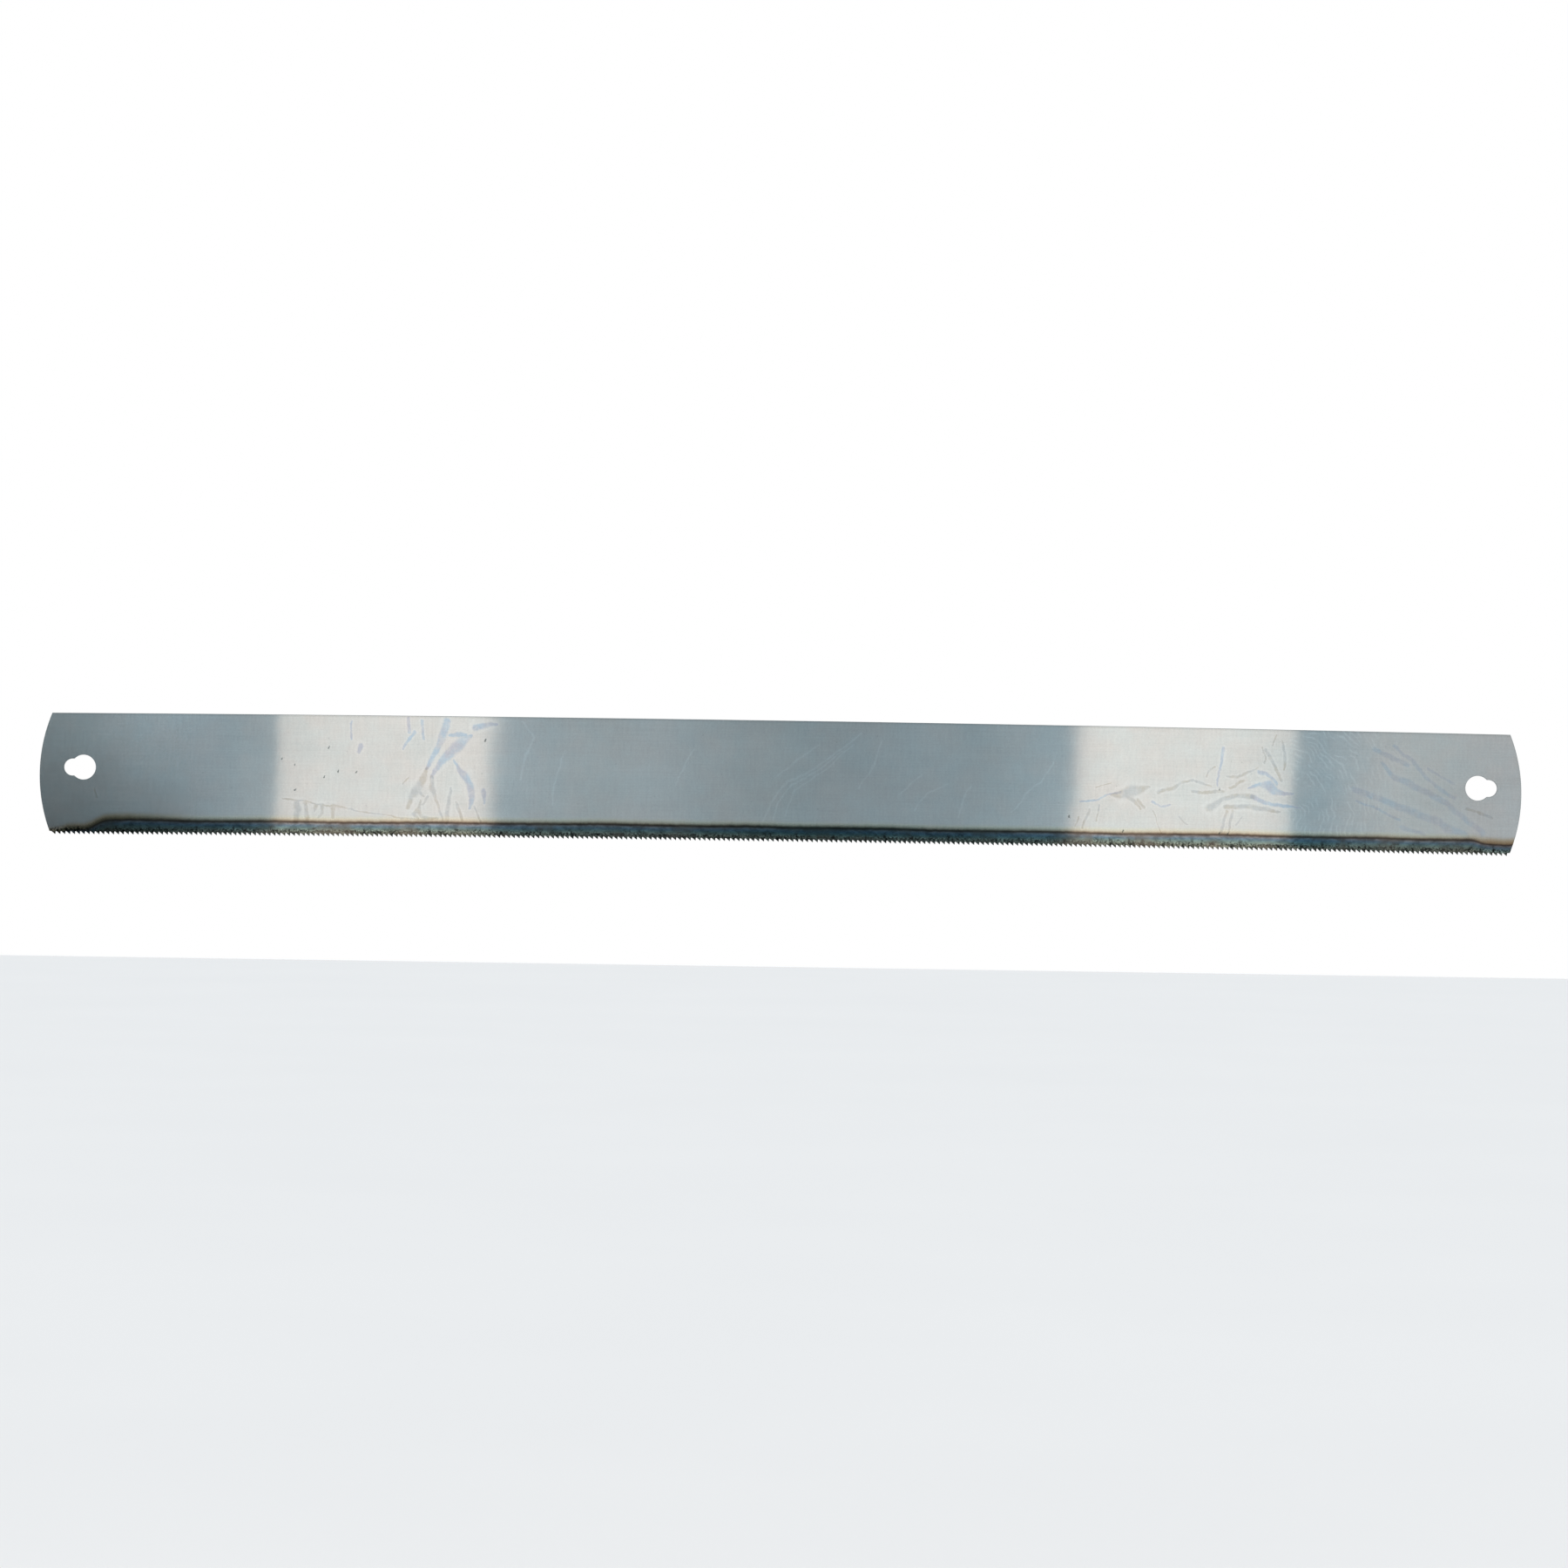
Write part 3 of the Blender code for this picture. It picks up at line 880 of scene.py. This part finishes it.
def steel_material(name):
    """The blade's skin: rolled steel, its hardened tinted edge, smears, specks and fine rolling lines."""
    material, shader, graph = new_material(name, PLAIN_STEEL)
    face = Face(graph)
    level = band_level(graph, face)
    hard = graph.between(level, *HARD_EDGE)
    clouds = face.pattern(*CLOUDS)
    lines = face.pattern(*ROLLING_LINES)

    colour = band_tint(graph, face, level, hard)
    colour = graph.scale(colour, steel_shade(graph, face, clouds, lines))
    hue = graph.between(face.pattern(*HUES), 0.3, 0.7)
    colour = graph.vector("MULTIPLY", colour, graph.mix(hue, WARM_CAST, COOL_CAST))
    colour, smeared, speck = add_marks(graph, face, colour)

    rough = ROUGHNESS
    tooth_side = graph.between(face.h, *TOOTH_SIDES)
    for value, more in (
        (clouds, 0.04),
        (lines, 0.03),
        (hard, -0.02),
        (tooth_side, 0.08),
        (smeared, 0.05),
        (speck, 0.3),
    ):
        rough = graph.math("MULTIPLY_ADD", value, more, rough)

    graph.feed(shader.inputs["Base Color"], colour)
    graph.feed(shader.inputs["Roughness"], rough)
    graph.feed(shader.inputs["Normal"], steel_bump(graph, face, lines))
    graph.feed(shader.inputs["Tangent"], graph.combine(0.0, 0.0, 1.0))
    graph.feed(shader.inputs["Metallic"], steel_bareness(graph, face, level))
    shader.inputs["Anisotropic"].default_value = 1.0
    return material


def rim_material(name, colour):
    """The strip's cut edges: sheared across the steel, a little rough, with fine marks across it."""
    material, shader, graph = new_material(name, colour)
    mm = graph.scale(graph.add("ShaderNodeTexCoord", {}, "Object"), 1 / MM)
    marks = graph.noise(graph.vector("MULTIPLY", mm, (6.0, 0.6, 6.0)), 1.0, 3.0)
    patches = graph.noise(mm, 0.4, 3.0)
    shade = graph.math("MULTIPLY_ADD", marks, 0.5, 0.6)
    shade = graph.math("ADD", shade, graph.centred(patches, 0.4))
    graph.feed(shader.inputs["Base Color"], graph.scale(colour, shade))
    graph.feed(shader.inputs["Roughness"], graph.math("MULTIPLY_ADD", marks, 0.25, 0.28))
    bump = graph.add("ShaderNodeBump", {"Strength": 0.4, "Distance": 0.00002, "Height": marks})
    graph.feed(shader.inputs["Normal"], bump)
    shader.inputs["Metallic"].default_value = 1.0
    return material


def finish_piece(obj, materials, node):
    """Give a piece its materials and its place in the CAD model."""
    for material in materials:
        obj.data.materials.append(material)
    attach(obj, next(iter(frame["bodies"])))
    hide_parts(node)


# Soft boxes in front of the blade, off to its sides. Each has its name, where its reflection starts and stops
# along the face (u, mm), how far its inner edge fades (mm), the side it is on, its lean and its light
SOFTBOX_AHEAD = 0.5
SOFTBOX_HEIGHT = 0.5
SOFTBOX_COLOUR = (1.0, 0.845, 0.71)
SOFTBOXES = (
    ("softbox_left", -187.0, -101.5, 11.0, LEFT, math.radians(2), 0.94),
    ("softbox_right", 105.0, 190.0, 8.0, RIGHT, math.radians(4), 1.02),
)

# Each is dimmer towards its two sides: over what share of its width, and down to what level
SOFTBOX_DIM_SHARE = 0.22
SOFTBOX_DIM_LEVEL = 0.84

# The room's light by direction: what the steel sees from left to right, as (the direction's x, linear colour)
ROOM_STOPS = (
    (-0.30, (0.34, 0.385, 0.405)),
    (-0.178, (0.05, 0.085, 0.105)),
    (-0.168, (0.075, 0.115, 0.13)),
    (-0.158, (0.11, 0.16, 0.185)),
    (-0.151, (0.165, 0.24, 0.28)),
    (-0.138, (0.165, 0.245, 0.295)),
    (-0.126, (0.15, 0.255, 0.315)),
    (-0.1205, (0.37, 0.46, 0.495)),
    (-0.110, (0.19, 0.315, 0.385)),
    (-0.062, (0.33, 0.44, 0.50)),
    (-0.055, (0.28, 0.385, 0.44)),
    (-0.048, (0.26, 0.345, 0.375)),
    (-0.029, (0.25, 0.335, 0.38)),
    (-0.010, (0.155, 0.235, 0.27)),
    (0.000, (0.08, 0.165, 0.2)),
    (0.009, (0.07, 0.15, 0.19)),
    (0.027, (0.105, 0.195, 0.245)),
    (0.046, (0.125, 0.225, 0.275)),
    (0.056, (0.19, 0.31, 0.37)),
    (0.062, (0.26, 0.39, 0.465)),
    (0.070, (0.23, 0.365, 0.435)),
    (0.118, (0.165, 0.33, 0.415)),
    (0.127, (0.22, 0.36, 0.435)),
    (0.132, (0.345, 0.42, 0.465)),
    (0.137, (0.59, 0.61, 0.60)),
    (0.150, (0.445, 0.52, 0.535)),
    (0.165, (0.465, 0.48, 0.495)),
    (0.30, (0.38, 0.425, 0.455)),
)
ROOM_RANGE = 0.35
ROOM_LIGHT = (1.0, 1.2, 1.35, 1.0)
ROOM_WHITE = (1.0, 1.0, 1.0, 1.0)

# The floor's two tones, warm because the room's light is cool
FLOOR_DARK = (0.84, 0.71, 0.64, 1.0)
FLOOR_LIGHT = (0.87, 0.735, 0.66, 1.0)


def on_light_plane(u):
    """Where a soft box stands (x) for its reflection to fall at u on the face, as the camera sees it."""
    from_axis = u * MM - CAMERA_SHIFT_X
    return CENTRE_X + CAMERA_SHIFT_X + from_axis * (1 + SOFTBOX_AHEAD / CAMERA_DISTANCE)


def add_softbox(name, start_u, stop_u, fade_u, side, lean, radiance):
    """A tall soft box facing the blade, whose light fades out towards the blade's middle."""
    start_x, stop_x = on_light_plane(start_u), on_light_plane(stop_u)
    light = bpy.data.lights.new(name, "AREA")
    light.shape = "RECTANGLE"
    light.size = stop_x - start_x
    light.size_y = SOFTBOX_HEIGHT
    light.energy = radiance * light.size * light.size_y * math.pi
    light.color = SOFTBOX_COLOUR
    light.use_nodes = True
    graph = Graph(light.node_tree)
    across = graph.split(graph.add("ShaderNodeNewGeometry", {}, "Parametric"))[0]
    fade = fade_u / (stop_u - start_u)
    if side == LEFT:
        level = graph.between(across, 1.0, 1.0 - fade)
    else:
        level = graph.between(across, 0.0, fade)
    for edge, inner in ((0.0, SOFTBOX_DIM_SHARE), (1.0, 1.0 - SOFTBOX_DIM_SHARE)):
        level = graph.math("MULTIPLY", level, graph.between(across, edge, inner, SOFTBOX_DIM_LEVEL, 1.0))
    emission = light.node_tree.nodes["Emission"]
    graph.feed(emission.inputs["Strength"], level)
    obj = bpy.data.objects.new(name, light)
    place = Matrix.Translation(((start_x + stop_x) / 2, -SOFTBOX_AHEAD, MIDDLE_Z))
    obj.matrix_world = place @ Matrix.Rotation(lean, 4, "Y") @ Matrix.Rotation(math.pi / 2, 4, "X")
    obj.visible_camera = False
    bpy.context.scene.collection.objects.link(obj)


def build_world():
    """A white, coolly lit room; the steel sees it as a soft grey that changes from left to right."""
    world = bpy.data.worlds.new("studio")
    world.use_nodes = True
    bpy.context.scene.world = world
    graph = Graph(world.node_tree)
    across = graph.split(graph.add("ShaderNodeTexCoord", {}, "Generated"))[0]
    place = graph.math("MULTIPLY_ADD", across, 0.5 / ROOM_RANGE, 0.5)
    seen = graph.ramp(place, [(0.5 + at * 0.5 / ROOM_RANGE, colour) for at, colour in ROOM_STOPS])
    path = world.node_tree.nodes.new("ShaderNodeLightPath")
    light = graph.mix(path.outputs["Is Glossy Ray"], ROOM_LIGHT, seen)
    light = graph.mix(path.outputs["Is Camera Ray"], light, ROOM_WHITE)
    background = world.node_tree.nodes["Background"]
    graph.feed(background.inputs["Color"], light)


def build_floor():
    """A plain pale floor, below the blade."""
    material, shader, graph = new_material("pale_floor", FLOOR_LIGHT[:3])
    grain = graph.noise(graph.add("ShaderNodeTexCoord", {}, "Object"), 3.0, 3.0)
    graph.feed(shader.inputs["Base Color"], graph.mix(grain, FLOOR_DARK, FLOOR_LIGHT))
    shader.inputs["Roughness"].default_value = 0.9
    half = FLOOR_SIZE / 2
    z = TIP_Z - FLOOR_DROP
    corners = [(-half, -half), (half, -half), (half, half), (-half, half)]
    mesh = bpy.data.meshes.new("floor")
    mesh.from_pydata([(CENTRE_X + x, y, z) for x, y in corners], [], [(0, 1, 2, 3)])
    mesh.materials.append(material)
    floor = bpy.data.objects.new("floor", mesh)
    bpy.context.scene.collection.objects.link(floor)
    floor.visible_glossy = False


def build_camera():
    """The camera, square to the front face, tipped a little so that the blade's right end lies lower."""
    data = bpy.data.cameras.new("camera")
    data.sensor_width = SENSOR
    data.lens = SENSOR * CAMERA_DISTANCE / VIEW_WIDTH
    camera = bpy.data.objects.new("camera", data)
    place = Matrix.Translation((CENTRE_X + CAMERA_SHIFT_X, -CAMERA_DISTANCE, MIDDLE_Z + CAMERA_SHIFT_Z))
    camera.matrix_world = place @ Matrix.Rotation(math.pi / 2, 4, "X") @ Matrix.Rotation(CAMERA_ROLL, 4, "Z")
    bpy.context.scene.collection.objects.link(camera)
    bpy.context.scene.camera = camera


build_camera()
STEEL = steel_material("rolled_steel")
SHEARED = rim_material("sheared_steel", (0.42, 0.43, 0.43))
finish_piece(build_body(), [STEEL, SHEARED], "blade_body")
TOOTHED = rim_material("toothed_steel", (0.12, 0.13, 0.13))
finish_piece(build_edge(), [STEEL, TOOTHED], "tooth_edge")
for softbox in SOFTBOXES:
    add_softbox(*softbox)
build_world()
build_floor()
bpy.context.scene.view_settings.view_transform = "Standard"
